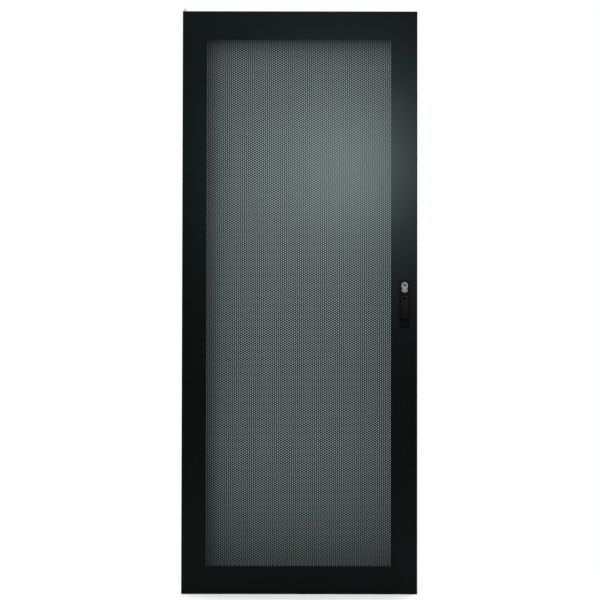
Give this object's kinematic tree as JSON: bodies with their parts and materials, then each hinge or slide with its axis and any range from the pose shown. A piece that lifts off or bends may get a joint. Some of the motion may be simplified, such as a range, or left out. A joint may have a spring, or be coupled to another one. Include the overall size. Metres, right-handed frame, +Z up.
{
  "type": "perforated rack door",
  "caption": "Tall perforated steel cabinet door with folded edges, a sprung upper hinge pin, a lower hinge bush and a swing handle with lock that drives two latch rods.",
  "frame": {"origin": "the mouth of the lower hinge bush's bore, on the hinge line, level with the underside of the bush's head that the door rests on", "axes": "+Z up along the hinge line, +X from the hinge side to the handle side, -Y out of the door's front"},
  "size_m": [0.792, 0.0543, 1.9715],
  "materials": {
    "powder_coat": "semi-gloss textured powder coat",
    "zinc_plate": "bright zinc plate",
    "die_cast_zinc": "as-cast satin",
    "spring_steel": "drawn wire",
    "handle_nylon": "fine moulded texture",
    "bright_chrome": "polished",
    "natural_nylon": "moulded",
    "black_rubber": "moulded"
  },
  "bodies": {
    "door": {"door_frame": "powder_coat", "perforated_sheet": "powder_coat", "hinge_side_channel": "powder_coat", "latch_side_channel": "powder_coat", "top_channel": "powder_coat", "bottom_channel": "powder_coat", "upper_hinge_bracket": "zinc_plate", "pin_spring": "spring_steel", "lower_hinge_bracket": "zinc_plate", "lower_hinge_bush": "natural_nylon", "handle_dish": "handle_nylon", "lock_housing": "bright_chrome", "lock_nut": "zinc_plate", "cover_rivet": "bright_chrome", "dish_screws": "zinc_plate", "gearbox_housing": "die_cast_zinc", "gearbox_cover": "die_cast_zinc", "rod_guide_1": "handle_nylon", "rod_guide_2": "handle_nylon", "rod_guide_3": "handle_nylon", "rod_guide_4": "handle_nylon", "guide_studs": "zinc_plate", "guide_nuts": "zinc_plate", "earth_stud": "zinc_plate", "earth_washer": "zinc_plate", "earth_nut": "zinc_plate", "rubber_buffer_1": "black_rubber", "rubber_buffer_2": "black_rubber", "rubber_buffer_3": "black_rubber"},
    "upper_pin": {"upper_hinge_pin": "zinc_plate", "pin_grip": "zinc_plate", "pin_collar": "zinc_plate"},
    "swivel": {"handle_spindle": "die_cast_zinc", "lever_pin": "zinc_plate", "drive_pinion": "die_cast_zinc"},
    "lever": {"handle_lever": "handle_nylon"},
    "lock_core": {"lock_plug": "bright_chrome", "lock_cam": "zinc_plate", "cam_screw": "zinc_plate"},
    "cover": {"dust_cover": "bright_chrome"},
    "upper_latch": {"upper_rack": "die_cast_zinc", "upper_rod": "zinc_plate", "upper_rack_screw": "zinc_plate"},
    "lower_latch": {"lower_rack": "die_cast_zinc", "lower_rod": "zinc_plate", "lower_rack_screw": "zinc_plate"}
  },
  "joints": [
    {"name": "upper_pin_slide", "type": "slide", "parent": "door", "child": "upper_pin", "axis": [0, 0, -1], "range_m": [0, 0.012], "stiffness_N_per_m": 180, "springref_m": -0.02, "deforming": ["pin_spring"]},
    {"name": "handle_turn", "type": "hinge", "parent": "door", "child": "swivel", "pos_m": [0.742, 0, 0.9975], "axis": [0, 1, 0], "range_deg": [0, 90]},
    {"name": "lever_lift", "type": "hinge", "parent": "swivel", "child": "lever", "pos_m": [0.742, -0.0258, 0.9975], "axis": [-1, 0, 0], "range_deg": [0, 35]},
    {"name": "lock_turn", "type": "hinge", "parent": "door", "child": "lock_core", "pos_m": [0.742, 0, 1.0365], "axis": [0, 1, 0], "range_deg": [0, 90]},
    {"name": "cover_swing", "type": "hinge", "parent": "door", "child": "cover", "pos_m": [0.742, -0.023, 1.0289], "axis": [0, 1, 0], "range_deg": [0, 180]},
    {"name": "upper_rod_slide", "type": "slide", "parent": "door", "child": "upper_latch", "axis": [0, 0, -1], "range_m": [0, 0.0189]},
    {"name": "lower_rod_slide", "type": "slide", "parent": "door", "child": "lower_latch", "axis": [0, 0, 1], "range_m": [0, 0.0189]}
  ],
  "couplings": [
    {"joint": "upper_rod_slide", "follows": "handle_turn", "m_per_rad": 0.012},
    {"joint": "lower_rod_slide", "follows": "handle_turn", "m_per_rad": 0.012}
  ]
}
